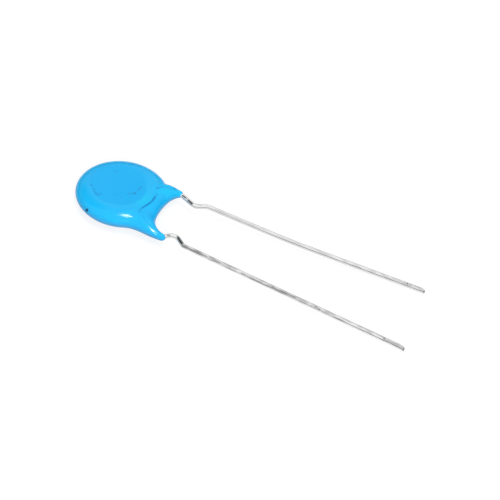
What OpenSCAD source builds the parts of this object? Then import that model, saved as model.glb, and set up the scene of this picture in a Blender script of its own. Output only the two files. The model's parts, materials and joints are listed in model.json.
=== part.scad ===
// Ceramic disc capacitor with kinked radial leads.
// A fired ceramic disc carries a silver electrode on each face. A tinned wire is soldered to each
// electrode, and a dipped epoxy coating seals the disc and runs down both wires as two short legs.
// The part lies on its flat lower face with the lead tips resting on the table. The origin is on
// the table under the disc's centre, +X points along the leads and +Z is up. The upper lead is the
// one soldered to the upper electrode, and it lies on the +Y side. All sizes are in millimetres.

/* [Ceramic disc and electrodes] */
// Diameter of the ceramic disc
ceramic_d = 8.6; // [8.2:0.1:12]
// Thickness of the ceramic disc
ceramic_t = 0.5; // [0.3:0.05:1.5]
// Bare ceramic left round the edge of each electrode
electrode_margin = 0.5; // [0.3:0.05:0.8]
// Thickness of the silver electrodes
electrode_t = 0.05; // [0.03:0.01:0.08]

/* [Solder joints] */
// Length of wire inside each solder joint
solder_run = 2.2; // [1:0.1:2.8]
// Width of each solder joint on its electrode
solder_w = 1.8; // [1.4:0.1:2.4]
// Solder that covers the wire
solder_cover = 0.04; // [0.02:0.01:0.08]
// Solder film between the wire and the electrode
solder_film = 0.03; // [0.02:0.01:0.05]
// Distance from the disc's centre to the wire's end inside the joint
wire_end = 0.3; // [0.2:0.1:1]

/* [Epoxy coating] */
// Coating round the edge of the ceramic disc
rim_cover = 1.1; // [0.8:0.05:1.5]
// Coating over each solder joint, under the flat faces
face_cover = 0.18; // [0.12:0.01:0.6]
// How far the rounded rim reaches in from the edge to the flat faces
rim_run = 1.85; // [1.2:0.05:2.2]
// Extra reach of the rim at both ends of its slight oval, and lack of it half way between them
coat_oval = 0.08; // [0:0.01:0.15]
// Direction in which the oval is longest
oval_turn = 45; // [0:5:90]
// How far the edge of the web between the legs lies inside the rim's circle
web_inset = 0.35; // [-0.05:0.05:0.45]
// Sideways place of the web's deepest point
web_y = -0.3; // [-1:0.05:1]

/* [Coating legs] */
// Length of the upper leg past the rim
upper_leg_out = 0.85; // [0.6:0.05:0.95]
// Length of the lower leg past the rim
lower_leg_out = 2; // [1:0.05:2.1]
// Thickness of the coating over the wire near the end of a leg
leg_film = 0.14; // [0.08:0.01:0.25]
// How far outwards each leg's end lies from its wire
leg_shift = 0.07; // [0:0.01:0.09]
// Length of the rounded end of a leg
leg_cap = 0.55; // [0.4:0.05:0.8]
// Angle round the disc at which the upper leg's outer side leaves the rim
upper_neck_angle = 51; // [48:0.5:60]
// Angle round the disc at which the lower leg's outer side leaves the rim
lower_neck_angle = 63.5; // [59:0.5:70]
// Pulls on the upper leg's curves: at its neck, its outer side, its inner side and the web
upper_pull = [1, 1.4, 0.65, 1.5]; // [0.4:0.05:2]
// Pulls on the lower leg's curves, in the same order
lower_pull = [1.1, 1.7, 1.65, 1.45]; // [0.4:0.05:2]

/* [Leads] */
// Diameter of the tinned wire
wire_d = 0.6; // [0.5:0.01:0.65]
// Distance between the two leads where they leave the coating
lead_pitch = 7.5; // [7:0.1:8]
// Sideways shift of the pair of leads from the disc's centre
pair_shift = -0.2; // [-0.5:0.05:0.4]
// Distance from the rim to the tip of the upper lead
lead_out = 31.5; // [25:0.05:40]
// How much shorter the lower lead is
lead_stagger = 0.25; // [0:0.05:3]
// Depth below the disc's mid-plane at which the leads leave the coating
exit_drop = 0.1; // [0:0.05:0.2]
// Length of the bevel that the cutter leaves on each tip
tip_bevel = 0.12; // [0.05:0.01:0.2]
// Width of the flat end inside that bevel
tip_flat = 0.42; // [0.2:0.02:0.48]

/* [Wires inside the coating] */
// Distance inside the rim at which the wires turn to run along their legs
turn_inset = 0.5; // [0.35:0.05:0.65]
// Radius of that turn
turn_r = 0.8; // [0.5:0.05:1]
// Distance outside the ceramic disc's edge at which the wires leave their electrode's level
crank_clear = 0.15; // [0.1:0.05:0.3]
// Radius of the wire's centre line there
crank_r = 0.6; // [0.4:0.05:0.8]
// Share of the crank's fall that is left at the turn
crank_rest = 0.2; // [0.1:0.05:0.3]

/* [Lead kinks] */
// Distance from the rim to the crests of both kinks
kink_crest = 2.75; // [2.6:0.05:3.6]
// Depth of the upper lead's kink, from corner to corner
upper_kink_depth = 0.84; // [0.5:0.01:1.2]
// Depth of the lower lead's kink, from corner to corner
lower_kink_depth = 1.17; // [0.5:0.01:1.25]
// Length along the upper lead of the limb that runs in to its crest
upper_kink_in = 2; // [1.8:0.05:2.1]
// Length along the lower lead of the limb that runs in to its crest
lower_kink_in = 1.1; // [1:0.05:1.4]
// Length along each lead of the limb that runs back out
kink_out = 1.4; // [1.2:0.05:2]
// Radius of the wire's centre line where it bends away from its leg
entry_r = 0.5; // [0.4:0.05:0.6]
// Radius of the wire's centre line at the crest of its kink and at the kink's end
kink_r = 0.9; // [0.4:0.05:1]

/* [Lead spread] */
// Outward angle of the upper lead after its kink
upper_splay = 0.3; // [0:0.1:3]
// Outward angle of the lower lead after its kink
lower_splay = 1.9; // [0:0.1:3]
// Further outward bend of the upper lead, half way along
upper_bow = 3.9; // [0:0.1:6]
// Further outward bend of the lower lead, half way along
lower_bow = 0; // [0:0.1:6]
// Distance from the rim to that bend
bow_out = 14.6; // [11:0.05:18]
// Radius of that bend
bow_r = 100; // [20:5:120]

/* [Hidden] */
$fn = 32;

UPPER = 1;
LOWER = -1;

// Shares of each leg's outline that follow the flat face's edge before and after its ridge
neck_share = 0.4;
crotch_share = 0.6;
// Angles short of a half turn at which the rounded ends of the legs run into their inner sides
upper_skew = 35;
lower_skew = 10;
// How much of the leg's fall in height is eased at both ends
fall_ease = 0.6;

// Sides of the wire's skin, degrees a ring in its bends, and the fewest steps in a bend
wire_sides = 16;
bend_step = 9;
bend_min_steps = 4;
// A corner that turns the wire by less than this is a straight
straight_angle = 0.01;
// Length and taper of the skin's spliced end
splice = 0.2;
splice_taper = 0.05;

// Steps of the coating's surface
edge_steps = 8;
ridge_steps = 12;
cap_steps = 8;
disc_steps = 64;
rim_steps = 7;

wire_r = wire_d / 2;
tip_r = wire_r + leg_film;
electrode_d = ceramic_d - 2 * electrode_margin;
mound_h = solder_film + wire_d + solder_cover;

// The coating's size follows from what it covers
coat_r = ceramic_d / 2 + rim_cover;
half_t = ceramic_t / 2 + electrode_t + mound_h + face_cover;
flat_r = coat_r - rim_run;
web_x = coat_r - web_inset;

// Places along the leads
turn_x = coat_r - turn_inset;
kink_x = coat_r + kink_crest;
kink_end_x = kink_x + kink_out;
bow_x = coat_r + bow_out;
exit_z = half_t - exit_drop;
seat_z = ceramic_t / 2 + electrode_t + solder_film + wire_r;

// ---- Functions shared by the curves ----

function mix(a, b, u) = a + (b - a) * u;
function unit(v) = v / norm(v);
function polar(r, angle) = [r * cos(angle), r * sin(angle)];
function lift(p, z) = [p.x, p.y, z];
// ease_in starts still and ends moving, and ease_out is its opposite
function ease_in(u) = 1 - cos(90 * u);
function ease_out(u) = sin(90 * u);
function smooth(u) = u * u * (3 - 2 * u);
function curve2(a, b, c, u) = mix(mix(a, b, u), mix(b, c, u), u);
function curve3(a, b, c, d, u) = mix(curve2(a, b, c, u), curve2(b, c, d, u), u);

function lead_y(side) = side * lead_pitch / 2 + pair_shift;
function turn(side) = [turn_x, lead_y(side)];

// ---- Coating ----

// A place on the rim's outline, and the direction in which the outline runs there, anticlockwise
function rim_point(angle) =
    polar(coat_r + coat_oval * cos(2 * (angle - oval_turn)), angle);
function rim_way(angle) = unit(rim_point(angle + 1) - rim_point(angle - 1));

// The coating is one skin between a skeleton and an outline. The skeleton is the edge of the flat
// faces with a ridge along each leg, and the outline is the widest line round the body. A station
// holds [skeleton point, outline point, half height, mid height, on the flat's edge or not], and
// the skin falls from the skeleton to the outline as a quarter ellipse, above and below.

function leg_stations(side, out, neck, pull, skew) =
    let (
        bend = turn(side),
        root = flat_r * unit(bend),
        root_angle = atan2(root.y, root.x),
        ridge_end = [coat_r + out - leg_cap, bend.y + side * leg_shift],
        cap_end = 180 - skew,
        cap = function (a) ridge_end + [leg_cap * sin(a), side * tip_r * cos(a)],
        ridge = function (s) curve2(root, bend, ridge_end, s),
        fall = function (s) mix(s, smooth(s), fall_ease),
        half_h = function (s) mix(half_t, tip_r, fall(s)),
        mid_h = function (s) mix(half_t, exit_z, fall(s)),
        neck_point = rim_point(side * neck),
        neck_pull = -side * pull[0] * rim_way(side * neck),
        cap_pull = pull[2] * unit([-leg_cap * cos(skew), -side * tip_r * sin(skew)]),
        outer = function (u) curve3(neck_point, neck_point + neck_pull,
            cap(0) - [pull[1], 0], cap(0), u),
        inner = function (u) curve3(cap(cap_end), cap(cap_end) + cap_pull,
            [web_x, web_y + side * pull[3]], [web_x, web_y], u)
    )
    concat(
        [for (i = [0:edge_steps - 1]) let (u = i / edge_steps)
            [polar(flat_r, mix(side * neck, root_angle, ease_out(u))), outer(u * neck_share),
                half_t, half_t, true]],
        [for (i = [0:ridge_steps]) let (u = i / ridge_steps, s = ease_in(u))
            [ridge(s), outer(mix(neck_share, 1, u)), half_h(s), mid_h(s), i == 0]],
        [for (i = [1:cap_steps - 1])
            [ridge_end, cap(cap_end * i / cap_steps), tip_r, exit_z, false]],
        [for (i = [ridge_steps:-1:0]) let (u = i / ridge_steps, s = ease_in(u))
            [ridge(s), inner(crotch_share * (1 - u)), half_h(s), mid_h(s), false]],
        [for (i = [1:edge_steps]) let (u = i / edge_steps)
            [polar(flat_r, root_angle * (1 - ease_in(u))), inner(mix(crotch_share, 1, u)),
                half_t, half_t, true]]
    );

function disc_stations() =
    [for (i = [1:disc_steps - 1])
        let (a = mix(-lower_neck_angle, upper_neck_angle - 360, i / disc_steps))
        [polar(flat_r, a), rim_point(a), half_t, half_t, true]];

// The stations run clockwise, seen from above, from the upper leg's neck
function coating_stations() =
    let (
        upper = leg_stations(UPPER, upper_leg_out, upper_neck_angle, upper_pull, upper_skew),
        lower = leg_stations(LOWER, lower_leg_out, lower_neck_angle, lower_pull, lower_skew)
    )
    concat(upper, [for (i = [len(lower) - 2:-1:0]) lower[i]], disc_stations());

function skin_point(station, angle) =
    lift(mix(station[0], station[1], sin(angle)), station[3] + station[2] * cos(angle));

function same(p, q) = norm(p - q) < 1e-6;

module skin(stations, rings) {
    n = len(stations);
    points = [for (k = [0:rings]) for (s = stations) skin_point(s, 180 * k / rings)];
    flat = [for (i = [0:n - 1]) if (stations[i][4]) i];
    bottom = rings * n;
    sides = [for (k = [0:rings - 1]) for (i = [0:n - 1])
        let (j = (i + 1) % n, a = k * n + i, b = k * n + j, c = a + n, d = b + n)
        each [if (!same(points[a], points[b])) [a, d, b], if (!same(points[c], points[d])) [a, c, d]]];
    polyhedron(points, concat([flat], sides, [[for (i = [len(flat) - 1:-1:0]) bottom + flat[i]]]));
}

module epoxy_coating() {
    color("deepskyblue")
        difference() {
            skin(coating_stations(), 2 * rim_steps);
            ceramic_shape();
            for (side = [UPPER, LOWER]) {
                electrode_shape(side);
                solder_shape(side);
                lead_shape(side);
            }
        }
}

// ---- Ceramic disc and electrodes ----

module ceramic_shape() {
    translate([0, 0, half_t])
        cylinder(d = ceramic_d, h = ceramic_t, center = true);
}

module ceramic_disc() {
    color("sandybrown")
        ceramic_shape();
}

// Layers and joints are drawn outwards from the upper face and mirrored for the lower one
module on_face(side) {
    translate([0, 0, half_t])
        mirror([0, 0, side == LOWER ? 1 : 0])
            translate([0, 0, ceramic_t / 2])
                children();
}

module electrode_shape(side) {
    on_face(side)
        cylinder(d = electrode_d, h = electrode_t);
}

module upper_electrode() {
    color("lightgray")
        electrode_shape(UPPER);
}

module lower_electrode() {
    color("lightgray")
        electrode_shape(LOWER);
}

// ---- Leads ----

function tip_x(side) = coat_r + lead_out - (side == UPPER ? 0 : lead_stagger);
function kink_depth(side) = side == UPPER ? upper_kink_depth : lower_kink_depth;
function kink_in(side) = side == UPPER ? upper_kink_in : lower_kink_in;
function splay(side) = side == UPPER ? upper_splay : lower_splay;
function bow(side) = side == UPPER ? upper_bow : lower_bow;

// Outside the coating each lead slopes down in a straight fall, until its tip meets the table
function kink_start_x(side) = kink_x - kink_in(side);
function fall_slope(side) = (exit_z - wire_r) / (tip_x(side) - kink_start_x(side));
function lead_z(side, x) = exit_z - fall_slope(side) * (x - kink_start_x(side));

// Corners of a lead's centre line, from its soldered end to its tip
function lead_corners(side) =
    let (
        y = lead_y(side),
        bend = turn(side),
        face_z = half_t + side * seat_z,
        edge_r = ceramic_d / 2 + crank_clear,
        bow_y = y + side * (bow_x - kink_end_x) * tan(splay(side)),
        tip_y = bow_y + side * (tip_x(side) - bow_x) * tan(splay(side) + bow(side)),
        outside = [
            [kink_start_x(side), y],
            [kink_x, y - side * kink_depth(side)],
            [kink_end_x, y],
            [bow_x, bow_y],
            [tip_x(side), tip_y]
        ]
    )
    concat(
        [lift(wire_end * unit(bend), face_z), lift(edge_r * unit(bend), face_z)],
        [lift(bend, mix(exit_z, face_z, crank_rest))],
        [for (p = outside) lift(p, lead_z(side, p.x))]
    );
corner_radii = [0, crank_r, turn_r, entry_r, kink_r, kink_r, bow_r, 0];

// Stops along one rounded corner of the wire's path, each [place, direction]
function bend_stops(before, corner, after, radius) =
    let (
        from = unit(corner - before),
        to = unit(after - corner),
        normal = cross(from, to),
        angle = atan2(norm(normal), from * to)
    )
    angle < straight_angle ? [[corner, from]] :
    let (
        inward = cross(unit(normal), from),
        start = corner - from * radius * tan(angle / 2),
        centre = start + inward * radius,
        steps = max(bend_min_steps, ceil(angle / bend_step))
    )
    [for (i = [0:steps]) let (a = angle * i / steps)
        [centre + radius * (from * sin(a) - inward * cos(a)), from * cos(a) + inward * sin(a)]];

// A ring of points round the wire at one stop
function wire_ring(stop, radius) =
    let (side = unit(cross([0, 0, 1], stop[1])), up = cross(stop[1], side))
    [for (i = [0:wire_sides - 1]) let (a = 360 * i / wire_sides)
        stop[0] + radius * (side * cos(a) + up * sin(a))];

// Places children with their Z axis along a direction
module aim(origin, direction) {
    side = unit(cross([0, 0, 1], direction));
    up = cross(direction, side);
    multmatrix([
        [side.x, up.x, direction.x, origin.x],
        [side.y, up.y, direction.y, origin.y],
        [side.z, up.z, direction.z, origin.z],
        [0, 0, 0, 1]
    ])
        children();
}

// Wire along the corners p. Its formed length is a skin of rings, and its last straight is a true
// cylinder with a bevelled tip, into which the skin's narrowed end runs a short way
module formed_wire(p) {
    last = len(p) - 1;
    stops = [each for (i = [1:last - 1]) bend_stops(p[i - 1], p[i], p[i + 1], corner_radii[i])];
    first = [p[0], unit(p[1] - p[0])];
    straight = stops[len(stops) - 1];
    sunk = [straight[0] + splice * straight[1], straight[1]];
    rings = [
        wire_ring(first, wire_r),
        each [for (s = stops) wire_ring(s, wire_r)],
        wire_ring(sunk, wire_r - splice_taper)
    ];
    n = wire_sides;
    sides = [for (k = [0:len(rings) - 2]) for (i = [0:n - 1])
        let (j = (i + 1) % n) [k * n + i, (k + 1) * n + i, (k + 1) * n + j, k * n + j]];
    ends = [[for (i = [0:n - 1]) i], [for (i = [n - 1:-1:0]) (len(rings) - 1) * n + i]];
    polyhedron([for (ring = rings) each ring], concat(sides, ends));

    run = norm(p[last] - straight[0]) - tip_bevel;
    aim(straight[0] + splice / 2 * straight[1], straight[1]) {
        cylinder(r = wire_r, h = run - splice / 2);
        translate([0, 0, run - splice / 2])
            cylinder(r1 = wire_r, r2 = tip_flat / 2, h = tip_bevel);
    }
}

module lead_shape(side) {
    formed_wire(lead_corners(side));
}

module upper_lead() {
    color("silver")
        lead_shape(UPPER);
}

module lower_lead() {
    color("silver")
        lead_shape(LOWER);
}

// ---- Solder joints ----

// A long low mound over the end of the wire, on its electrode
module solder_shape(side) {
    mound_r = (pow(solder_w / 2, 2) + pow(mound_h, 2)) / (2 * mound_h);
    bend = turn(side);
    on_face(side)
        translate([0, 0, electrode_t])
            rotate(atan2(bend.y, bend.x))
                translate([wire_end, 0, 0]) {
                    rotate([90, 0, 90])
                        linear_extrude(solder_run)
                            mound_section(mound_r, mound_h, 2);
                    rotate(90)
                        rotate_extrude(angle = 180)
                            mound_section(mound_r, mound_h, 1);
                    translate([solder_run, 0, 0])
                        rotate(-90)
                            rotate_extrude(angle = 180)
                                mound_section(mound_r, mound_h, 1);
                }
}

// The cap of a circle above y = 0: the whole of it for sides = 2, its right half for sides = 1
module mound_section(r, h, sides) {
    intersection() {
        translate([0, h - r])
            circle(r = r);
        translate([sides == 2 ? -r : 0, 0])
            square([r * sides, h]);
    }
}

module solder_joint(side) {
    difference() {
        solder_shape(side);
        lead_shape(side);
    }
}

module upper_solder_joint() {
    color("gainsboro")
        solder_joint(UPPER);
}

module lower_solder_joint() {
    color("gainsboro")
        solder_joint(LOWER);
}

epoxy_coating();
ceramic_disc();
upper_electrode();
lower_electrode();
upper_solder_joint();
lower_solder_joint();
upper_lead();
lower_lead();
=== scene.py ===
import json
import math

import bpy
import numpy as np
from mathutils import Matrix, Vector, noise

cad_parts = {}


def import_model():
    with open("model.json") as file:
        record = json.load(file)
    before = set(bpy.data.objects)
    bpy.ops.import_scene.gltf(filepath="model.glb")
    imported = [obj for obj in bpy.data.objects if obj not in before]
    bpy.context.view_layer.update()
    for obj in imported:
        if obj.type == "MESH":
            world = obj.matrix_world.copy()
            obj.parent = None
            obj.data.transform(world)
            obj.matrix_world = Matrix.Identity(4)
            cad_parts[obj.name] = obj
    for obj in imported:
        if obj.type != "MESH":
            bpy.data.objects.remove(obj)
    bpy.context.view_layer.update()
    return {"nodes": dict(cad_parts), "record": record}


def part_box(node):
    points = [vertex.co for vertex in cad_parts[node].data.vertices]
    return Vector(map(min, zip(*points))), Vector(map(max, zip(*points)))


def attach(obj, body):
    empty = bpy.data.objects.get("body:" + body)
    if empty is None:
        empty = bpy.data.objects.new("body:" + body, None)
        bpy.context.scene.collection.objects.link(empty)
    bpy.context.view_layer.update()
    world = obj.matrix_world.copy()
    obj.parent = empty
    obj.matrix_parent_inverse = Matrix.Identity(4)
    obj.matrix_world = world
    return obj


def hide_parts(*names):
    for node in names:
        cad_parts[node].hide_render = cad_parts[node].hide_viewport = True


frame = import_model()

# A ceramic disc capacitor on a white table. The CAD nodes inside the coating keep their shape. The
# coating and the two leads are rebuilt here as fine smooth meshes on the same curves, with the
# marks and the wear of the real surfaces, and with some painted shade, painted light and painted
# reflection. Their lengths are in millimetres until a mesh is made.
# The table and the lamps are in metres. The frame's axes are used throughout: +X along the leads,
# +Z up.

MM = 0.001
# Keeps a divisor from being 0
TINY = 1e-6
BODY = "root"

# The two leads and their legs, by the side of the part they are on: +Y and -Y
UPPER, LOWER = 1, -1


def box_mm(node):
    low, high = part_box(node)
    return np.array(low) / MM, np.array(high) / MM


def mount(name):
    return next(m for m in frame["record"]["mounts"] if m["name"] == name)


# ---- Sizes read from the frame ----

HALF_T = box_mm("epoxy_coating")[1][2] / 2
CERAMIC_R = box_mm("ceramic_disc")[1][0]
ELECTRODE_TOP = box_mm("upper_electrode")[1][2] - HALF_T
WIRE_R = mount("upper_lead_pin")["dims"]["r_mm"]
LEAD_NODE = {UPPER: "upper_lead", LOWER: "lower_lead"}

# ---- Sizes of the coating's form, as in the CAD model ----

# Coating round the edge of the ceramic disc
RIM_COVER = 1.1
COAT_R = CERAMIC_R + RIM_COVER
# How far the rounded rim reaches in from the edge to the flat faces
RIM_RUN = 1.85
FLAT_R = COAT_R - RIM_RUN
# Extra reach of the rim at both ends of its slight oval, and the oval's direction in degrees
OVAL = 0.08
OVAL_TURN = 45
# Place of the deepest point of the web between the legs, which lies inside the rim's circle
WEB_INSET = 0.35
WEB_X = COAT_R - WEB_INSET
WEB_Y = -0.3
# Length of each leg past the rim, how far outwards its end lies from its wire, and the length of
# its rounded end
LEG_OUT = {UPPER: 0.85, LOWER: 2.0}
LEG_SHIFT = 0.07
LEG_CAP = 0.55
# Thickness of the coating over the wire near the end of a leg
LEG_FILM = 0.14
TIP_R = WIRE_R + LEG_FILM
# Angle round the disc, in degrees, at which each leg's outer side leaves the rim
NECK_ANGLE = {UPPER: 51, LOWER: 63.5}
# Pulls on each leg's curves: at its neck, its outer side, its inner side and the web
LEG_PULL = {UPPER: (1, 1.4, 0.65, 1.5), LOWER: (1.1, 1.7, 1.65, 1.45)}
# Angles short of a half turn at which the rounded ends of the legs run into their inner sides
CAP_SKEW = {UPPER: 35, LOWER: 10}
# Shares of each leg's outline that follow the flat face's edge before and after its ridge
NECK_SHARE = 0.4
CROTCH_SHARE = 0.6
# How much of the leg's fall in height is eased at both ends
FALL_EASE = 0.6

# ---- Sizes of the leads, as in the CAD model ----

# Distance between the two leads where they leave the coating, the sideways shift of the pair, and
# its depth there below the disc's mid-plane
LEAD_PITCH = 7.5
PAIR_SHIFT = -0.2
EXIT_DROP = 0.1
EXIT_Z = HALF_T - EXIT_DROP
# Solder between the wire and its electrode, and the distance from the disc's centre to the wire's
# end inside the joint
SOLDER_FILM = 0.03
WIRE_END = 0.3
# Distance outside the ceramic disc's edge at which the wires leave their electrode's level, the
# radius of that bend, and the share of the fall that is left at the turn along the leg
CRANK_CLEAR = 0.15
CRANK_R = 0.6
CRANK_REST = 0.2
# Distance inside the rim at which the wires turn to run along their legs, and that turn's radius
TURN_INSET = 0.5
TURN_X = COAT_R - TURN_INSET
TURN_R = 0.8
# Distance from the rim to the crests of both kinks, their depth from corner to corner, and the
# lengths of the limbs that run in to the crest and back out
KINK_CREST = 2.75
KINK_X = COAT_R + KINK_CREST
KINK_DEPTH = {UPPER: 0.84, LOWER: 1.17}
KINK_IN = {UPPER: 2.0, LOWER: 1.1}
KINK_OUT = 1.4
# Radii of the bend away from the leg, and of those at the crest of the kink and at its end
ENTRY_R = 0.5
KINK_R = 0.9
# Outward angle of each lead after its kink and its further outward bend, in degrees, the distance
# from the rim to that bend, and the bend's radius
SPLAY = {UPPER: 0.3, LOWER: 1.9}
BOW = {UPPER: 3.9, LOWER: 0}
BOW_OUT = 14.6
BOW_X = COAT_R + BOW_OUT
BOW_R = 100
# Distance from the rim to the tips, the length of the bevel that the cutter leaves on them, and the
# radius of the flat end inside that bevel
LEAD_OUT = {UPPER: 31.5, LOWER: 31.25}
TIP_X = {side: COAT_R + out for side, out in LEAD_OUT.items()}
TIP_BEVEL = 0.12
TIP_FLAT_R = 0.21


# ---- Curves ----

def mix(a, b, u):
    return a + (b - a) * u


def unit(v):
    return np.asarray(v) / np.linalg.norm(v)


def polar(r, degrees):
    a = math.radians(degrees)
    return np.array([r * math.cos(a), r * math.sin(a)])


def ease_in(u):
    return 1 - math.cos(math.pi / 2 * u)


def ease_out(u):
    return math.sin(math.pi / 2 * u)


def smooth(u):
    return u * u * (3 - 2 * u)


def curve2(a, b, c, u):
    return mix(mix(a, b, u), mix(b, c, u), u)


def curve3(a, b, c, d, u):
    return mix(curve2(a, b, c, u), curve2(b, c, d, u), u)


def lead_y(side):
    return side * LEAD_PITCH / 2 + PAIR_SHIFT


def turn(side):
    """Where a lead turns to run along its leg, seen from above."""
    return np.array([TURN_X, lead_y(side)])


# ---- The coating's stations, as in the CAD model ----

# A station is a point of the skeleton, one of the outline, the half height and the middle height
# over the skeleton, and whether it borders the flat face. These are the numbers of stations along
# the flat face's edge before a leg, along a leg's ridge, round its end, and round the disc.
EDGE_STEPS = 44
RIDGE_STEPS = 64
CAP_STEPS = 36
DISC_STEPS = 260


def rim_point(angle):
    return polar(COAT_R + OVAL * math.cos(math.radians(2 * (angle - OVAL_TURN))), angle)


def leg_stations(side):
    """Stations along a leg's outer side, round its end and back along its inner side to the web."""
    bend = turn(side)
    root = FLAT_R * unit(bend)
    root_angle = math.degrees(math.atan2(root[1], root[0]))
    ridge_end = np.array([COAT_R + LEG_OUT[side] - LEG_CAP, bend[1] + side * LEG_SHIFT])
    neck = NECK_ANGLE[side]
    neck_pull, side_pull, cap_pull, web_pull = LEG_PULL[side]
    skew = math.radians(CAP_SKEW[side])
    cap_end = math.pi - skew

    def cap(a):
        return ridge_end + [LEG_CAP * math.sin(a), side * TIP_R * math.cos(a)]

    cap_back = unit([-LEG_CAP * math.cos(skew), -side * TIP_R * math.sin(skew)])
    neck_point = rim_point(side * neck)
    neck_way = -side * unit(rim_point(side * neck + 1) - rim_point(side * neck - 1))

    def outer(u):
        return curve3(neck_point, neck_point + neck_pull * neck_way,
                      cap(0) - [side_pull, 0], cap(0), u)

    def inner(u):
        return curve3(cap(cap_end), cap(cap_end) + cap_pull * cap_back,
                      np.array([WEB_X, WEB_Y + side * web_pull]), np.array([WEB_X, WEB_Y]), u)

    def on_ridge(s):
        fall = mix(s, smooth(s), FALL_EASE)
        return curve2(root, bend, ridge_end, s), mix(HALF_T, TIP_R, fall), mix(HALF_T, EXIT_Z, fall)

    rows = []
    for i in range(EDGE_STEPS):
        u = i / EDGE_STEPS
        edge = polar(FLAT_R, mix(side * neck, root_angle, ease_out(u)))
        rows.append((edge, outer(u * NECK_SHARE), HALF_T, HALF_T, True))
    for i in range(RIDGE_STEPS + 1):
        u = i / RIDGE_STEPS
        place, half, middle = on_ridge(ease_in(u))
        rows.append((place, outer(mix(NECK_SHARE, 1, u)), half, middle, i == 0))
    for i in range(1, CAP_STEPS):
        rows.append((ridge_end, cap(cap_end * i / CAP_STEPS), TIP_R, EXIT_Z, False))
    for i in range(RIDGE_STEPS, -1, -1):
        u = i / RIDGE_STEPS
        place, half, middle = on_ridge(ease_in(u))
        rows.append((place, inner(CROTCH_SHARE * (1 - u)), half, middle, False))
    for i in range(1, EDGE_STEPS + 1):
        u = i / EDGE_STEPS
        edge = polar(FLAT_R, root_angle * (1 - ease_in(u)))
        rows.append((edge, inner(mix(CROTCH_SHARE, 1, u)), HALF_T, HALF_T, True))
    return rows


def coating_stations():
    """Stations of the upper leg, the lower leg and the rest of the disc, all round the outline."""
    rows = leg_stations(UPPER) + leg_stations(LOWER)[-2::-1]
    first, last = -NECK_ANGLE[LOWER], NECK_ANGLE[UPPER] - 360
    for i in range(1, DISC_STEPS):
        a = mix(first, last, i / DISC_STEPS)
        rows.append((polar(FLAT_R, a), rim_point(a), HALF_T, HALF_T, True))
    return rows


# ---- Marks, painted shade and painted light on the coating ----

# Each kind of mark has a half width, a depth, and a level for how strongly it is painted, up to 1.
# The level of the scuffs counts for their depth too.

# The pinhole in the near rim, painted dark inside as shade
PIT_AT = (-2.1, -4.96, 1.43)
PIT_R = 0.15
PIT_DEPTH = 0.1
PIT_SHADE_LEVEL = 2

# The crease and the scuffs come and go in blots. A pair of shares says how weak and how strong they
# get.
BLOT_SIZE, BLOT_SEED = 0.35, 7

# The crease in front of the legs, painted darker in its groove as shade
CREASE = [(3.42, -2.05), (3.62, -1.5), (3.81, -0.85), (3.88, -0.45), (3.92, -0.05), (3.88, 0.4)]
CREASE_W = 0.08
CREASE_DEPTH = 0.045
CREASE_SHADE_LEVEL = 1.5
CREASE_BLOTS = (0.55, 1.3)

# Scuffs on the face, each with its points, half width and strength. The first two carry the crease
# on, fainter, at its ends, where their dark paint is painted shade as in the crease.
CREASE_HEAD = ([(3.88, 0.45), (3.9, 1.02)], 0.07, 0.4)
CREASE_TAIL = ([(3.42, -2.05), (3.36, -2.28), (3.4, -2.8)], 0.07, 0.6)
LEG_ROOT_SPOT = ([(3.45, 1.87), (3.55, 2.03)], 0.1, 1)
LEG_ROOT_TAIL = ([(3.62, 2.13), (3.82, 2.42)], 0.08, 0.35)
LEFT_SPOT = ([(-3.25, -1.92), (-3.19, -1.8)], 0.12, 0.5)
LEFT_HOOK = ([(-2.78, -2.2), (-2.46, -2.57), (-1.8, -2.95), (-1.66, -2.5)], 0.08, 0.5)
MIDDLE_DASH = ([(-0.25, -1.78), (0.12, -1.7)], 0.07, 0.38)
MIDDLE_SPOT = ([(0.5, -1.92), (0.54, -1.75)], 0.07, 0.3)
RIGHT_DASH = ([(1.02, -0.9), (1.52, -0.42)], 0.07, 0.42)
RIGHT_SPOT = ([(1.6, -0.28), (1.74, -0.42)], 0.09, 0.7)
RIGHT_STROKE = ([(1.7, 0.18), (1.79, 1.02)], 0.08, 0.48)
FAR_SPOT = ([(-2.05, 1.75), (-1.92, 1.8)], 0.13, 0.22)
SCUFFS = [CREASE_HEAD, CREASE_TAIL, LEG_ROOT_SPOT, LEG_ROOT_TAIL, LEFT_SPOT, LEFT_HOOK, MIDDLE_DASH,
          MIDDLE_SPOT, RIGHT_DASH, RIGHT_SPOT, RIGHT_STROKE, FAR_SPOT]
SCUFF_DEPTH = 0.02
SCUFF_LEVEL = 1.3
SCUFF_BLOTS = (0.5, 1.4)

# What is on the upper side only starts this many half thicknesses above the table, and is whole one
# half thickness higher
TOP_FROM = 0.6

# The flat on the lower leg's flank: which way it faces, how far out the flank lies that way before
# it is pressed, the flat's middle and half length along X, and how deep it is pressed
FLANK_WAY = (0.2095, -0.4015, 0.8917)
FLANK_OUT = 4.344
FLANK_X = 6.0
FLANK_REACH = 0.75
FLANK_DEPTH = 0.025

# Over the flat face the coating is a little deeper in colour, partly its own tone and partly
# painted shade. Along the web's edge, where the coating turns down, it is painted in shade. Before
# the crease and on the root of the upper leg it is paler with painted light, where the real surface
# tilts towards the lamps. The face's colour ends sharply at its near side, in a line that wobbles.
# Towards
# FACE_FAR, in degrees, it reaches further out and fades.
FACE_AT = (-0.55, -0.2)
FACE_R = 3.3
FACE_EDGE = 0.3
FACE_FAR = 120
FACE_FAR_OUT = 0.7
FACE_FAR_EDGE = 1.8
FACE_WOBBLE = 0.25
WOBBLE_SIZE, WOBBLE_SEED = 0.8, 3
# Painted shade along the web's edge, where the coating turns down
WEB_EDGE_SHADE = [(WEB_X - 0.1, 0.9), (WEB_X - 0.1, -2.3)]
WEB_EDGE_SHADE_W = 0.75
WEB_EDGE_SHADE_STRENGTH = 0.8
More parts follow.
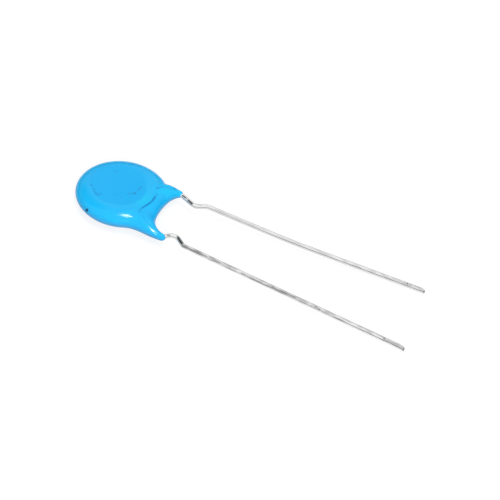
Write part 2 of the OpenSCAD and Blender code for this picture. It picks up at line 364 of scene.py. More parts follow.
# Painted light before the crease and on the upper leg's root
PAINTED_LIGHT_AT = (2.75, -0.7)
PAINTED_LIGHT_W = 1.2
PAINTED_LIGHT_LEG = [(3.9, 1.7), (5.6, 3.2)]
PAINTED_LIGHT_LEG_W = 0.9
PAINTED_LIGHT_LEG_STRENGTH = 0.55


# ---- Mesh helpers ----

def placed(name, data):
    thing = bpy.data.objects.new(name, data)
    bpy.context.scene.collection.objects.link(thing)
    return thing


def make_mesh(name, points_mm, faces, material, attributes):
    mesh = bpy.data.meshes.new(name)
    mesh.from_pydata([tuple(p) for p in np.asarray(points_mm) * MM], [], faces)
    for key, values in attributes:
        layer = mesh.attributes.new(key, "FLOAT", "POINT")
        layer.data.foreach_set("value", np.asarray(values, dtype=np.float32))
    mesh.validate()
    mesh.materials.append(material)
    mesh.polygons.foreach_set("use_smooth", [True] * len(mesh.polygons))
    return placed(name, mesh)


def tube_faces(rings, n):
    """Quads from each ring of n points to the next."""
    return [(k * n + i, k * n + (i + 1) % n, (k + 1) * n + (i + 1) % n, (k + 1) * n + i)
            for k in range(rings - 1) for i in range(n)]


def segment_distance(points, a, b):
    a, b = np.asarray(a, float), np.asarray(b, float)
    way = b - a
    u = np.clip(((points - a) @ way) / max(way @ way, TINY), 0, 1)
    return np.linalg.norm(points - a - u[:, None] * way, axis=1)


def line_distance(points, line):
    return np.min([segment_distance(points, a, b) for a, b in zip(line, line[1:])], axis=0)


def bump(distance, width):
    return np.exp(-(distance / width) ** 2)


def uneven(points, size, seed):
    """Smooth noise from 0 to 1 at each point, with blots of about the given size."""
    shift = Vector((seed, 2 * seed, 3 * seed))
    return np.array([noise.noise(Vector(p) / size + shift) for p in points]) * 0.5 + 0.5


# Decimal places to which points have to agree to be one
WELD_PLACES = 5


def weld(points, faces, values):
    """Points at one place are made one, and the faces that this closes up are left out."""
    keys = np.round(points, WELD_PLACES)
    _, first, new = np.unique(keys, axis=0, return_index=True, return_inverse=True)
    new = new.reshape(-1)
    out = []
    for f in faces:
        g = [int(new[i]) for i in f]
        g = [v for i, v in enumerate(g) if v != g[i - 1]]
        if len(set(g)) > 2:
            out.append(g)
    return points[first], out, values[first]


# ---- The coating ----

# Rings of the mesh down the rim's upper half and its under half, and across the two flat faces
RIM_RINGS = 30
UNDER_RINGS = 18
FACE_RINGS = 56
UNDER_FACE_RINGS = 14

# The angle round a section, from its top, at which the surface starts to count as its under side,
# which is painted in shade with a greyish painted reflection of the table. It is wholly so at twice
# that angle.
UNDER_SHADE_FROM = 58


def coating_mesh():
    """Points and faces, and at each point how far it is on the upper side and on the under side,
    which is painted in shade.
    """
    rows = coating_stations()
    n = len(rows)
    skeleton = np.array([r[0] for r in rows])
    outline = np.array([r[1] for r in rows])
    half = np.array([r[2] for r in rows])
    middle = np.array([r[3] for r in rows])
    flat = [i for i in range(n) if rows[i][4]]
    turns = [math.pi / 2 * k / RIM_RINGS for k in range(RIM_RINGS)]
    turns += [math.pi / 2 * (1 + k / UNDER_RINGS) for k in range(UNDER_RINGS + 1)]
    points, under = [], []
    for a in turns:
        xy = skeleton + (outline - skeleton) * math.sin(a)
        points.append(np.column_stack([xy, middle + half * math.cos(a)]))
        # How far the ring counts as the under side, which is painted in shade
        under += [smooth(min(max(math.degrees(a) / UNDER_SHADE_FROM - 1, 0), 1))] * n
    faces = tube_faces(len(turns), n)
    count = len(turns) * n
    m = len(flat)
    for z, rings, first_row, up in ((2 * HALF_T, FACE_RINGS, 0, True),
                                    (0, UNDER_FACE_RINGS, (len(turns) - 1) * n, False)):
        ring = [first_row + i for i in flat]
        for t in range(1, rings):
            shrink = 1 - t / rings
            under += [0.0 if up else 1.0] * m
            points.append(np.column_stack([skeleton[flat] * shrink, np.full(m, z)]))
            inner_ring = list(range(count, count + m))
            count += m
            for i in range(m):
                j = (i + 1) % m
                quad = (ring[i], inner_ring[i], inner_ring[j], ring[j])
                faces.append(quad if up else quad[::-1])
            ring = inner_ring
        points.append(np.array([[0.0, 0.0, z]]))
        under.append(0.0 if up else 1.0)
        for i in range(m):
            tri = (ring[i], count, ring[(i + 1) % m])
            faces.append(tri if up else tri[::-1])
        count += 1
    points = np.concatenate(points)
    top = smooth(np.clip(points[:, 2] / HALF_T - TOP_FROM, 0, 1))
    return weld(points, faces, np.column_stack([top, under]))


def flattened(points):
    """The points with the lower leg's flank pressed a little flat, deepest half way along."""
    way = unit(FLANK_WAY)
    along = (points[:, 0] - FLANK_X) / FLANK_REACH
    depth = FLANK_DEPTH * np.clip(1 - along ** 4, 0, 1)
    over = np.clip(points @ way - FLANK_OUT + depth, 0, depth)
    return points - over[:, None] * way


def coating(material):
    points, faces, sides = coating_mesh()
    top, under = sides.T
    points = flattened(points)
    xy = points[:, :2]
    blots = uneven(points, BLOT_SIZE, BLOT_SEED)
    crease = bump(line_distance(xy, CREASE), CREASE_W) * top * mix(*CREASE_BLOTS, blots)
    # The pinhole: deepened, and painted dark inside as shade
    pit_and_shade = bump(np.linalg.norm(points - PIT_AT, axis=1), PIT_R)
    scuff = np.zeros(len(points))
    for line, width, strength in SCUFFS:
        one = bump(line_distance(xy, line), width) * strength * SCUFF_LEVEL
        scuff = np.maximum(scuff, one * mix(*SCUFF_BLOTS, blots) * top)
    wobble = FACE_WOBBLE * (uneven(points, WOBBLE_SIZE, WOBBLE_SEED) - 0.5)
    out = np.linalg.norm(xy - FACE_AT, axis=1)
    far = smooth(np.clip((xy - FACE_AT) @ polar(1, FACE_FAR) / (out + TINY), 0, 1))
    face = FACE_R + FACE_FAR_OUT * far - out
    face = smooth(np.clip((face + wobble) / mix(FACE_EDGE, FACE_FAR_EDGE, far) + 0.5, 0, 1)) * top
    # Painted shade by the web's edge. Over the face the deeper colour is partly its own tone and
    # partly painted shade
    web_shade = WEB_EDGE_SHADE_STRENGTH * bump(line_distance(xy, WEB_EDGE_SHADE), WEB_EDGE_SHADE_W)
    deep_tone_and_shade = np.maximum(face, web_shade)
    # Painted light before the crease and on the upper leg's root
    painted_light = bump(np.linalg.norm(xy - PAINTED_LIGHT_AT, axis=1), PAINTED_LIGHT_W)
    painted_light_leg = PAINTED_LIGHT_LEG_STRENGTH * bump(line_distance(xy, PAINTED_LIGHT_LEG), PAINTED_LIGHT_LEG_W)
    painted_light = np.maximum(painted_light, painted_light_leg) * (1 - deep_tone_and_shade) * top
    inward = np.zeros_like(points)
    inward[:, 2] = -CREASE_DEPTH * crease - SCUFF_DEPTH * scuff
    inward -= PIT_DEPTH * pit_and_shade[:, None] * unit(np.array(PIT_AT) - (0, 0, HALF_T))
    # The crease, and the scuffs that carry it on, are painted darker as shade in the groove. The
    # other scuffs are marks of their own
    mark_and_shade = np.clip(np.maximum(CREASE_SHADE_LEVEL * crease, scuff), 0, 1)
    piece = make_mesh("coating_shell", points + inward, faces, material,
                      [("mark_and_shade", mark_and_shade), ("pit_and_shade", np.clip(PIT_SHADE_LEVEL * pit_and_shade, 0, 1)), ("deep_tone_and_shade", deep_tone_and_shade),
                       ("painted_light", painted_light), ("under", under)])
    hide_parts("epoxy_coating")
    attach(piece, BODY)
    return piece


# ---- The leads ----

# The wires' mesh: points round them, the greatest steps along bends (as an angle) and straight
# runs, the fewest steps in a bend, the smallest bend (as an angle), and the rings of a tip's bevel
# and end
WIRE_SIDES = 40
BEND_STEP = math.radians(4)
STRAIGHT_STEP = 0.08
FEWEST_STEPS = 6
SMALLEST_BEND = 1e-3
BEVEL_RINGS = 5
END_RINGS = 6

# Small dents all over the wires, shallower on the upper one
DENT_SIZE = 0.4
DENT_DEPTH = {UPPER: 0.012, LOWER: 0.022}

# Dark marks on the wires, each with its points on the surface, half width and strength: a painted
# dark reflection on each kink's limb, painted shade where the wire leaves the coating, long rubbed
# lines, nicks, and a faint darkening towards the tip
WIRE_MARKS_AND_SHADE = {
    UPPER: [([(7.15, 2.99, 1.29), (7.7, 2.72, 1.25)], 0.15, 0.95),
            ([(6.2, 3.36, 1.33), (6.6, 3.2, 1.32)], 0.08, 0.7),
            ([(8.35, 2.9, 1.26), (8.8, 3.05, 1.24)], 0.08, 0.5),
            ([(10.5, 3.38, 1.19), (15.5, 3.41, 1.07)], 0.07, 0.3),
            ([(34.62, 4.65, 0.64), (34.68, 4.62, 0.62)], 0.1, 1),
            ([(35.03, 4.64, 0.63), (35.1, 4.65, 0.63)], 0.08, 0.8),
            ([(34.3, 4.64, 0.64), (36.2, 4.76, 0.6)], 0.22, 0.2)],
    LOWER: [([(8.6, -3.22, 1.29), (9.4, -3.86, 1.28)], 0.16, 1),
            ([(7.45, -3.65, 1.32), (7.7, -3.5, 1.3)], 0.1, 0.8),
            ([(9.5, -4.11, 1.24), (12.6, -4.21, 1.16)], 0.09, 0.6),
            ([(13.6, -4.24, 1.13), (15.6, -4.31, 1.08)], 0.08, 0.4),
            ([(17.0, -4.39, 1.03), (19.5, -4.47, 0.965)], 0.09, 0.4),
            ([(20.8, -4.49, 0.95), (23.6, -4.59, 0.88)], 0.1, 0.7),
            ([(25.55, -4.71, 0.76), (25.7, -4.71, 0.76)], 0.06, 0.6),
            ([(26.1, -4.6, 0.84), (26.2, -4.61, 0.84)], 0.07, 0.8),
            ([(26.5, -4.7, 0.78), (26.65, -4.7, 0.77)], 0.07, 0.9),
            ([(34.3, -4.83, 0.62), (34.36, -4.86, 0.61)], 0.1, 1),
            ([(33.6, -4.8, 0.65), (36.0, -4.9, 0.6)], 0.2, 0.14)]}
WIRE_MARK_DEPTH = 0.02

# Past the kinks the tin is duller in long streaks over the top, from DULL_START on. DULL holds how
# dull it is on the whole, up to the first place of DULL_CHANGE and from the second on. The gain and
# the cut part the streaks from the clean tin between them.
DULL_START, DULL_RISE = 8.8, 0.8
DULL_CHANGE = (9, 24)
DULL = {UPPER: (0.1, 0.22), LOWER: (0.5, 0.36)}
STREAK_WIDTH, STREAK_STRETCH, STREAK_SEED = 0.25, 4, 5
STREAK_GAIN, STREAK_CUT = 2.5, 0.75
STREAK_MEAN = 0.5

# Below its middle each wire is evenly darker instead, all along: painted shade, as the table that
# it mirrors there lies in the wire's shadow. That fades out over UNDER_EDGE, a share of its radius,
# above the middle.
WIRE_UNDER_SHADE = {UPPER: 0.4, LOWER: 0.12}
UNDER_EDGE = 0.35

# Each tip is a lopsided nose, made by shifting the wire's last NOSE_REACH lengthwise. It stands
# out most at NOSE_MIDDLE, by NOSE_OUT past the CAD model's tip. Its upper far side ends NOSE_BACK
# before that, its lower near side NOSE_UNDER and its two other sides NOSE_SIDES. The end is darker,
# most so at CUT_AT. Places across the wire are shares of its radius, counted along NOSE_UP.
NOSE_REACH = 1.2
NOSE_OUT = {UPPER: 0, LOWER: 0.18}
NOSE_UP = unit((0, 1, 1))
NOSE_SIDE = unit((0, -1, 1))
NOSE_MIDDLE = -0.1
NOSE_BACK = {UPPER: 0.62, LOWER: 0.48}
NOSE_UNDER = 0.1
NOSE_SIDES = 0.2
CUT_AT = -0.62
CUT_WIDTH = 0.85
CUT_REACH = 0.16


def lead_corners(side):
    """The corners of a wire's centre line, from its soldered end to its tip."""
    y = lead_y(side)
    bend = turn(side)
    seat = ELECTRODE_TOP + SOLDER_FILM + WIRE_R
    face_z = HALF_T + side * seat
    start_x = KINK_X - KINK_IN[side]
    end_x = KINK_X + KINK_OUT
    bow_y = y + side * (BOW_X - end_x) * math.tan(math.radians(SPLAY[side]))
    tip_y = bow_y + side * (TIP_X[side] - BOW_X) * math.tan(math.radians(SPLAY[side] + BOW[side]))
    slope = (EXIT_Z - WIRE_R) / (TIP_X[side] - start_x)

    def level(x):
        return EXIT_Z - slope * (x - start_x)

    first = WIRE_END * unit(bend)
    edge = (CERAMIC_R + CRANK_CLEAR) * unit(bend)
    outside = [(start_x, y), (KINK_X, y - side * KINK_DEPTH[side]), (end_x, y),
               (BOW_X, bow_y), (TIP_X[side], tip_y)]
    corners = [(*first, face_z), (*edge, face_z), (*bend, mix(EXIT_Z, face_z, CRANK_REST))]
    corners += [(x, py, level(x)) for x, py in outside]
    return [np.array(c) for c in corners]


# The bends' radii at the corners, from the soldered end to the tip
CORNER_R = (0, CRANK_R, TURN_R, ENTRY_R, KINK_R, KINK_R, BOW_R, 0)


def wire_stops(corners):
    """Places and directions along the wire's centre line, close together."""
    stops = [(corners[0], unit(corners[1] - corners[0]))]
    for before, corner, after, radius in zip(corners, corners[1:], corners[2:], CORNER_R[1:]):
        come, go = unit(corner - before), unit(after - corner)
        normal = np.cross(come, go)
        angle = math.atan2(np.linalg.norm(normal), come @ go)
        if angle < SMALLEST_BEND:
            continue
        inward = np.cross(unit(normal), come)
        start = corner - come * radius * math.tan(angle / 2)
        centre = start + inward * radius
        steps = max(FEWEST_STEPS, math.ceil(angle / BEND_STEP))
        arc = []
        for i in range(steps + 1):
            a = angle * i / steps
            place = centre + radius * (come * math.sin(a) - inward * math.cos(a))
            arc.append((place, come * math.cos(a) + inward * math.sin(a)))
        stops += straight(stops[-1], arc[0]) + arc
    tip = corners[-1] - TIP_BEVEL * stops[-1][1]
    stops += straight(stops[-1], (tip, stops[-1][1]))
    stops.append((tip, stops[-1][1]))
    return stops


def straight(a, b):
    steps = int(np.linalg.norm(b[0] - a[0]) / STRAIGHT_STEP)
    return [(mix(a[0], b[0], i / (steps + 1)), a[1]) for i in range(1, steps + 1)]


def rounded(share):
    """How far a round end falls back at a share of its radius, from 0 to 1."""
    return 1 - np.sqrt(1 - np.clip(share, 0, 1) ** 2)


def nosed(side, points, centres, tip, way):
    """The points with the wire's end shaped as a nose, and how far each belongs to its dark end."""
    up = (points - centres) @ NOSE_UP / WIRE_R
    across = np.abs((points - centres) @ NOSE_SIDE) / WIRE_R
    over, under = (up - NOSE_MIDDLE) / (1 - NOSE_MIDDLE), (NOSE_MIDDLE - up) / (1 + NOSE_MIDDLE)
    back = NOSE_BACK[side] * rounded(over)
    back += NOSE_UNDER * rounded(under) + NOSE_SIDES * rounded(across)
    along = (points - tip) @ way
    move = (NOSE_OUT[side] - back) * np.clip(1 + along / NOSE_REACH, 0, 1)
    cut = smooth(np.clip(1 + along / CUT_REACH, 0, 1)) * bump(up - CUT_AT, CUT_WIDTH)
    return points + move[:, None] * way, cut


def wire_rings(corners):
    """Centre, direction and radius of each ring of the wire's mesh."""
    stops = wire_stops(corners)
    bevel_start, way = stops[-1]
    rings = [(place, along, WIRE_R) for place, along in stops]
    for i in range(1, BEVEL_RINGS + 1):
        u = i / BEVEL_RINGS
        place = mix(bevel_start, corners[-1], ease_out(u))
        rings.append((place, way, mix(TIP_FLAT_R, WIRE_R, 1 - ease_in(u))))
    for i in range(1, END_RINGS):
        rings.append((corners[-1], way, TIP_FLAT_R * (1 - i / END_RINGS)))
    return rings


def dullness_and_shade(side, points, centres):
    """How dull the tin is at each point, with painted shade below the wire's middle."""
    first, last = DULL_CHANGE
    far = smooth(np.clip((points[:, 0] - first) / (last - first), 0, 1))
    streaks = uneven(points / (STREAK_STRETCH, 1, 1), STREAK_WIDTH, STREAK_SEED + side)
    streaks = smooth(np.clip(STREAK_GAIN * streaks - STREAK_CUT, 0, 1))
    past = smooth(np.clip((points[:, 0] - DULL_START) / DULL_RISE, 0, 1))
    over = mix(*DULL[side], far) / STREAK_MEAN * past * streaks
    # Below the middle: painted shade
    under = smooth(np.clip(1 - (points - centres)[:, 2] / (UNDER_EDGE * WIRE_R), 0, 1))
    return np.clip(mix(over, WIRE_UNDER_SHADE[side], under), 0, 1)


def lead(side, name, material):
    corners = lead_corners(side)
    rings = wire_rings(corners)
    n = WIRE_SIDES
    points, centres = [], []
    for place, way, radius in rings:
        across = unit(np.cross((0, 0, 1), way))
        up = np.cross(way, across)
        for i in range(n):
            a = 2 * math.pi * i / n
            points.append(place + radius * (across * math.cos(a) + up * math.sin(a)))
            centres.append(place)
    points, centres = np.array(points), np.array(centres)
    # Dark marks, among them a painted dark reflection on each kink's limb and painted shade where
    # the wire leaves the coating
    mark_and_shade = np.max([strength * bump(line_distance(points, line), width)
                   for line, width, strength in WIRE_MARKS_AND_SHADE[side]], axis=0)
    dents = DENT_DEPTH[side] * uneven(points, DENT_SIZE, side)
    share = (dents + WIRE_MARK_DEPTH * mark_and_shade) / WIRE_R
    # Dull tin over the top, and painted shade below the middle
    dull_and_shade = dullness_and_shade(side, points, centres)
    nose, cut = nosed(side, points, centres, corners[-1], rings[-1][1])
    points = nose + share[:, None] * (centres - points)
    faces = tube_faces(len(rings), n)
    faces.append(tuple(range(n - 1, -1, -1)))
    faces.append(tuple((len(rings) - 1) * n + i for i in range(n)))
    piece = make_mesh(name, points, faces, material,
                      [("dull_and_shade", dull_and_shade), ("mark_and_shade", mark_and_shade), ("cut", cut)])
    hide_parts(LEAD_NODE[side])
    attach(piece, BODY)


# ---- Shader nodes ----

def attribute(nodes, name):
    node = nodes.new("ShaderNodeAttribute")
    node.attribute_name = name
    return node.outputs["Fac"]


def painted(nodes, links, under, colour, share):
    """A colour laid over another, itself a colour or a socket, by the share that a socket gives."""
    node = nodes.new("ShaderNodeMix")
    node.data_type = "RGBA"
    node.inputs["B"].default_value = (*colour, 1)
    if isinstance(under, tuple):
        node.inputs["A"].default_value = (*under, 1)
    else:
        links.new(under, node.inputs["A"])
    links.new(share, node.inputs["Factor"])
    return node.outputs["Result"]


def set_limits(node, come, go):
    for name, limit in zip(("From Min", "From Max", "To Min", "To Max"), (*come, *go)):
        node.inputs[name].default_value = limit


def faded(nodes, links, value, come, go):
    """A value taken smoothly from one pair of limits to another."""
    fade = nodes.new("ShaderNodeMapRange")
    fade.interpolation_type = "SMOOTHSTEP"
    set_limits(fade, come, go)
    links.new(value, fade.inputs["Value"])
    return fade.outputs["Result"]


def joined(nodes, links, operation, sockets):
    """One value made from several by an operation, two at a time."""
    total = sockets[0]
    for socket in sockets[1:]:
        both = nodes.new("ShaderNodeMath")
        both.operation = operation
        links.new(total, both.inputs[0])
        links.new(socket, both.inputs[1])
        total = both.outputs[0]
    return total


def mixed_shader(nodes, links, share, first, second):
    node = nodes.new("ShaderNodeMixShader")
    links.new(share, node.inputs[0])
    links.new(first, node.inputs[1])
    links.new(second, node.inputs[2])
    return node.outputs[0]


def grey(level):
    return (level, level, level, 1)


# The values between which most of the noise texture lies, and how much finer detail it has
NOISE_LOW, NOISE_HIGH = 0.3, 0.7
NOISE_DETAIL = 2


def noise_between(nodes, links, scale, low, high):
    """Fine noise over the object, from low to high. The scale is per metre."""
    coord = nodes.new("ShaderNodeTexCoord")
    grain = nodes.new("ShaderNodeTexNoise")
    grain.inputs["Scale"].default_value = scale
    grain.inputs["Detail"].default_value = NOISE_DETAIL
    links.new(coord.outputs["Object"], grain.inputs["Vector"])
    spread = nodes.new("ShaderNodeMapRange")
    set_limits(spread, (NOISE_LOW, NOISE_HIGH), (low, high))
    links.new(grain.outputs["Fac"], spread.inputs["Value"])
    return spread.outputs["Result"]


# ---- Materials ----

def new_material(name):
    m = bpy.data.materials.new(name)
    m.use_nodes = True
    return m, m.node_tree.nodes, m.node_tree.links, m.node_tree.nodes["Principled BSDF"]


# Besides the coating's own colours: the deep one is partly the face's own tone and partly painted
# shade along the web's edge. The pale one is painted light. The under one is painted shade with a
# greyish painted reflection of the table. The scuff and pit colours are also painted into the
# crease and the pinhole as shade.
EPOXY = (0.016, 0.535, 0.995)
EPOXY_DEEP_AND_SHADE = (0.002, 0.482, 0.96)
EPOXY_PAINTED_LIGHT = (0.004, 0.635, 0.995)
EPOXY_UNDER_SHADE = (0.07, 0.28, 0.52)
EPOXY_SPECK = (0, 0.42, 0.93)
SCUFF_AND_CREASE_SHADE = (0, 0.19, 0.58)
PIT_SHADE = (0, 0.02, 0.09)
EPOXY_GLOSS = 0.21

# Grains are the scales of noise textures, per metre. Scuffs add SCUFF_ROUGH to the roughness.
ROUGH_GRAIN = 2500
EPOXY_ROUGH = (0.1, 0.14)
SCUFF_ROUGH = 0.2
SPECK_GRAIN, SPECK_SHARE = 6000, 0.35

# The coating's skin is very finely uneven. Its height is in metres.
SKIN_GRAIN = 4500
SKIN_HEIGHT = 2.5e-6


def epoxy_material():
    m, nodes, links, shader = new_material("blue_epoxy")
    shader.inputs["Specular IOR Level"].default_value = EPOXY_GLOSS
    mark_and_shade = attribute(nodes, "mark_and_shade")
    rough = noise_between(nodes, links, ROUGH_GRAIN, *EPOXY_ROUGH)
    scuffed = faded(nodes, links, mark_and_shade, (0, 1), (0, SCUFF_ROUGH))
    links.new(joined(nodes, links, "ADD", [rough, scuffed]), shader.inputs["Roughness"])
    skin = nodes.new("ShaderNodeBump")
    skin.inputs["Distance"].default_value = SKIN_HEIGHT
    links.new(noise_between(nodes, links, SKIN_GRAIN, 0, 1), skin.inputs["Height"])
    links.new(skin.outputs["Normal"], shader.inputs["Normal"])
    colour = EPOXY
    # Laid over the coating's colour: the face's deeper tone and painted shade by the web's edge,
    # painted light before the crease and on the upper leg's root, and on the under side painted
    # shade with a greyish painted reflection of the table
    for name, tone in (("deep_tone_and_shade", EPOXY_DEEP_AND_SHADE), ("painted_light", EPOXY_PAINTED_LIGHT), ("under", EPOXY_UNDER_SHADE)):
        colour = painted(nodes, links, colour, tone, attribute(nodes, name))
    speck = noise_between(nodes, links, SPECK_GRAIN, 0, SPECK_SHARE)
    colour = painted(nodes, links, colour, EPOXY_SPECK, speck)
    # The scuffs' own colour, also painted into the crease as shade, and the pinhole painted dark as
    # shade
    colour = painted(nodes, links, colour, SCUFF_AND_CREASE_SHADE, mark_and_shade)
    colour = painted(nodes, links, colour, PIT_SHADE, attribute(nodes, "pit_and_shade"))
    links.new(colour, shader.inputs["Base Color"])
    return m


TIN = (0.88, 0.885, 0.88)
# The dull colour also paints shade on the wires' under side
TIN_DULL_AND_SHADE = (0.4, 0.4, 0.4)
TIN_SPECK = (0.6, 0.605, 0.6)
TIN_SPECK_GRAIN, TIN_SPECK_SHARE = 5000, 0.2
TIN_ROUGH = (0.06, 0.14)
# The marks' colour, which also paints dark reflections on the kinks and shade where the wires leave
# the coating
WIRE_MARK_AND_SHADE = (0.07, 0.08, 0.085)
CUT_END = (0.2, 0.185, 0.17)


def wire_material():
    m, nodes, links, shader = new_material("tinned_wire")
    shader.inputs["Metallic"].default_value = 1
    # Dull tin, with painted shade below the middle
    colour = painted(nodes, links, TIN, TIN_DULL_AND_SHADE, attribute(nodes, "dull_and_shade"))
    speck = noise_between(nodes, links, TIN_SPECK_GRAIN, 0, TIN_SPECK_SHARE)
    colour = painted(nodes, links, colour, TIN_SPECK, speck)
    # Dark marks, some of them painted shade and painted dark reflections
    colour = painted(nodes, links, colour, WIRE_MARK_AND_SHADE, attribute(nodes, "mark_and_shade"))
    colour = painted(nodes, links, colour, CUT_END, attribute(nodes, "cut"))
    links.new(colour, shader.inputs["Base Color"])
    rough = noise_between(nodes, links, ROUGH_GRAIN, *TIN_ROUGH)
    links.new(rough, shader.inputs["Roughness"])
    return m


# The parts sealed in the coating keep their CAD solids. No side shows them, but their slots are
# filled, as a cut-open view would show them.
CERAMIC, CERAMIC_GRAIN = (0.48, 0.33, 0.2), (0.36, 0.24, 0.14)
SILVER, SILVER_DULL = (0.86, 0.85, 0.82), (0.62, 0.61, 0.58)
SOLDER, SOLDER_DULL = (0.7, 0.71, 0.72), (0.45, 0.46, 0.47)
# material: colour, its grain, the grain's scale, metallic, roughness, nodes
SEALED = {
    "fired_ceramic": (CERAMIC, CERAMIC_GRAIN, 4000, 0, 0.6, ["ceramic_disc"]),
    "fired_silver": (SILVER, SILVER_DULL, 3000, 1, 0.35, ["upper_electrode", "lower_electrode"]),
    "solder": (SOLDER, SOLDER_DULL, 2500, 1, 0.3, ["upper_solder_joint", "lower_solder_joint"])}


def sealed_materials():
    for name, (colour, grain, scale, metallic, roughness, names) in SEALED.items():
        m, nodes, links, shader = new_material(name)
        shader.inputs["Metallic"].default_value = metallic
        shader.inputs["Roughness"].default_value = roughness
        both = painted(nodes, links, colour, grain, noise_between(nodes, links, scale, 0, 1))
        links.new(both, shader.inputs["Base Color"])
        for node in names:
            for place in frame["nodes"][node].material_slots:
                place.material = m


# ---- Table, light and camera ----

# Seen directly, a share of the table is its own white glow. Between the two distances of the fade
# that becomes all of it and its strength goes to 1, so it meets the white room without a line.
TABLE_HALF = 1.5
TABLE_DIFFUSE = 0.8
FLOOR_GLOW = 1.18
FLOOR_GLOW_SHARE = 0.67
FLOOR_FADE = (0.12, 0.5)


def seen_directly(nodes, links):
    """1 for camera, glossy and transmission rays, so that metal mirrors the white surroundings."""
    path = nodes.new("ShaderNodeLightPath")
    rays = ("Is Camera Ray", "Is Glossy Ray", "Is Transmission Ray")
    return joined(nodes, links, "MAXIMUM", [path.outputs[name] for name in rays])


def floor():
    mesh = bpy.data.meshes.new("table_top")
    s = TABLE_HALF
    mesh.from_pydata([(-s, -s, 0), (s, -s, 0), (s, s, 0), (-s, s, 0)], [], [(0, 1, 2, 3)])
    table = placed("table_top", mesh)
    m = bpy.data.materials.new("white_table")
    m.use_nodes = True
    nodes, links = m.node_tree.nodes, m.node_tree.links
    nodes.clear()
    out = nodes.new("ShaderNodeOutputMaterial")
    diffuse = nodes.new("ShaderNodeBsdfDiffuse")
    diffuse.inputs["Color"].default_value = grey(TABLE_DIFFUSE)
    glow = nodes.new("ShaderNodeEmission")
    glow.inputs["Color"].default_value = grey(1)
    away = nodes.new("ShaderNodeVectorMath")
    away.operation = "LENGTH"
    links.new(nodes.new("ShaderNodeTexCoord").outputs["Object"], away.inputs[0])
    away = away.outputs["Value"]
    links.new(faded(nodes, links, away, FLOOR_FADE, (FLOOR_GLOW, 1)), glow.inputs["Strength"])
    share = faded(nodes, links, away, FLOOR_FADE, (FLOOR_GLOW_SHARE, 1))
    share = joined(nodes, links, "MULTIPLY", [seen_directly(nodes, links), share])
    both = mixed_shader(nodes, links, share, diffuse.outputs[0], glow.outputs[0])
    links.new(both, out.inputs["Surface"])
    mesh.materials.append(m)


def direction(azimuth, elevation):
    """Unit vector, azimuth from +X towards +Y, in degrees."""
    a, e = math.radians(azimuth), math.radians(elevation)
    return Vector((math.cos(a) * math.cos(e), math.sin(a) * math.cos(e), math.sin(e)))


# What the glossy surfaces mirror is a white room with two dark spots and a dark horizon. A spot is
# its azimuth, elevation, inner and outer radius in degrees, and its level. The horizon is at its
# level below its first elevation and white above its second. FILL is the room's level for all else
# that it lights.
DARK_SPOTS = [(165, 48, 14, 28, 0.02), (-84, 8, 8, 16, 0.05)]
HORIZON = (10, 27, 0.1)
FILL = 0.27


def room_spot(nodes, links, place, spot):
    """The room's level with a soft round spot in it, which is white outside the spot."""
    azimuth, elevation, inner, outer, level = spot
    dot = nodes.new("ShaderNodeVectorMath")
    dot.operation = "DOT_PRODUCT"
    dot.inputs[1].default_value = direction(azimuth, elevation)
    links.new(place, dot.inputs[0])
    edges = [math.cos(math.radians(radius)) for radius in (outer, inner)]
    return faded(nodes, links, dot.outputs["Value"], edges, (1, level))


def room_horizon(nodes, links, place):
    """The room's level with the horizon alone."""
    low, high, level = HORIZON
    split = nodes.new("ShaderNodeSeparateXYZ")
    links.new(place, split.inputs[0])
    edges = [math.sin(math.radians(elevation)) for elevation in (low, high)]
    return faded(nodes, links, split.outputs["Z"], edges, (level, 1))


def background(nodes, strength):
    node = nodes.new("ShaderNodeBackground")
    node.inputs["Color"].default_value = grey(1)
    node.inputs["Strength"].default_value = strength
    return node


def world():
    w = bpy.data.worlds.new("white_studio")
    bpy.context.scene.world = w
    w.use_nodes = True
    nodes, links = w.node_tree.nodes, w.node_tree.links
    nodes.clear()
    place = nodes.new("ShaderNodeTexCoord").outputs["Generated"]
    levels = [room_spot(nodes, links, place, spot) for spot in DARK_SPOTS]
    levels.append(room_horizon(nodes, links, place))
    room = background(nodes, 1)
    links.new(joined(nodes, links, "MULTIPLY", levels), room.inputs["Strength"])
    path = nodes.new("ShaderNodeLightPath")
    direct = joined(nodes, links, "MAXIMUM",
                    [path.outputs["Is Camera Ray"], path.outputs["Is Transmission Ray"]])
    lit = mixed_shader(nodes, links, path.outputs["Is Glossy Ray"],
                       background(nodes, FILL).outputs[0], room.outputs[0])
    seen = mixed_shader(nodes, links, direct, lit, background(nodes, 1).outputs[0])
    out = nodes.new("ShaderNodeOutputWorld")
    links.new(seen, out.inputs["Surface"])


# What the lamps point at
LAMP_TARGET = Vector((3, 0, 1)) * MM

# Each lamp's azimuth and elevation in degrees, distance and size in metres, and level
LAMPS = {"overhead_lamp": (50, 82, 0.4, 0.15, 0.28),
         "key_lamp": (-60, 30, 0.4, 0.2, 0.63),
         "back_lamp": (130, 45, 0.4, 0.2, 0.2)}


def lamp(name, azimuth, elevation, distance, size, level):
    """A round soft lamp. Its level is about what it adds to a white surface that faces it."""
    data = bpy.data.lights.new(name, "AREA")
    data.shape = "DISK"
    data.size = size
    data.energy = level * math.pi ** 2 * distance ** 2
    o = placed(name, data)
    way = direction(azimuth, elevation)
    o.location = LAMP_TARGET + way * distance
    o.rotation_mode = "QUATERNION"
    o.rotation_quaternion = way.to_track_quat("Z", "Y")
    o.visible_glossy = False


# The softbox is nearly overhead, and only the coating mirrors it. SOFTBOX_TURN is the azimuth of
# its long side, and the angles are in degrees.
SOFTBOX_AZ, SOFTBOX_EL = -24.5, 80
SOFTBOX_TURN = -54
SOFTBOX_DISTANCE = 0.4
SOFTBOX_LENGTH = 0.12
SOFTBOX_WIDTH = 0.044
SOFTBOX_RADIANCE = 64


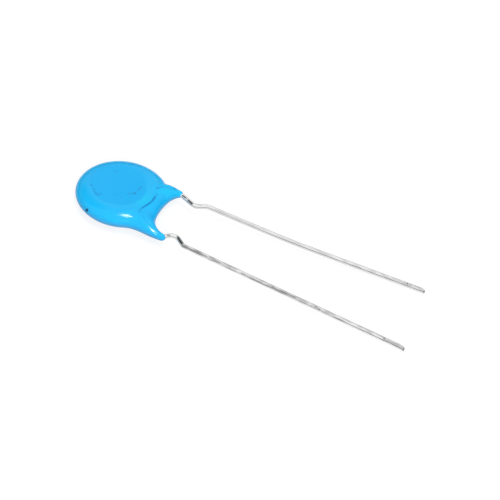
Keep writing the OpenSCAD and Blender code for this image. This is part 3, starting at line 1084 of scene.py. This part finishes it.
def softbox(receiver):
    data = bpy.data.lights.new("softbox", "AREA")
    data.shape = "RECTANGLE"
    data.size, data.size_y = SOFTBOX_LENGTH, SOFTBOX_WIDTH
    data.energy = SOFTBOX_RADIANCE * math.pi * SOFTBOX_LENGTH * SOFTBOX_WIDTH
    o = placed("softbox", data)
    back = direction(SOFTBOX_AZ, SOFTBOX_EL)
    long_way = direction(SOFTBOX_TURN, 0)
    long_way = (long_way - back * long_way.dot(back)).normalized()
    turned = Matrix((long_way, back.cross(long_way), back)).transposed().to_4x4()
    o.matrix_world = Matrix.Translation(LAMP_TARGET + back * SOFTBOX_DISTANCE) @ turned
    o.visible_diffuse = False
    lit = bpy.data.collections.new("lit_by_softbox")
    lit.objects.link(receiver)
    o.light_linking.receiver_collection = lit


# The camera, as fitted to the photo: the azimuth that it looks along, how steeply it looks down and
# its roll in degrees, the point that it looks at and its distance from it in millimetres, its focal
# length and the picture's side in pixels, its sensor in millimetres, and its clip distances in
# metres
CAM_AZ, CAM_EL, CAM_ROLL = 100.340, 44.751, -15.043
CAM_TARGET = Vector((16.355, 0.506, 0))
CAM_DIST = 110
CAM_F_PX = 944.168
IMAGE_PX = 500
SENSOR = 36
CAM_CLIP = (0.005, 10)


def camera():
    a, e, r = math.radians(CAM_AZ), math.radians(CAM_EL), math.radians(-CAM_ROLL)
    back = Vector((-math.cos(a) * math.cos(e), -math.sin(a) * math.cos(e), math.sin(e)))
    right = Vector((math.sin(a), -math.cos(a), 0))
    up = back.cross(right)
    turned_right = right * math.cos(r) + up * math.sin(r)
    turned_up = up * math.cos(r) - right * math.sin(r)
    data = bpy.data.cameras.new("camera")
    data.sensor_width = SENSOR
    data.lens = CAM_F_PX / IMAGE_PX * SENSOR
    data.clip_start, data.clip_end = CAM_CLIP
    o = placed("camera", data)
    place = (CAM_TARGET + back * CAM_DIST) * MM
    turn_matrix = Matrix((turned_right, turned_up, back)).transposed().to_4x4()
    o.matrix_world = Matrix.Translation(place) @ turn_matrix
    bpy.context.scene.camera = o


def build():
    bpy.context.scene.view_settings.view_transform = "Standard"
    camera()
    epoxy = epoxy_material()
    wire = wire_material()
    shell = coating(epoxy)
    lead(UPPER, "upper_lead_wire", wire)
    lead(LOWER, "lower_lead_wire", wire)
    sealed_materials()
    floor()
    world()
    softbox(shell)
    for name, values in LAMPS.items():
        lamp(name, *values)


build()
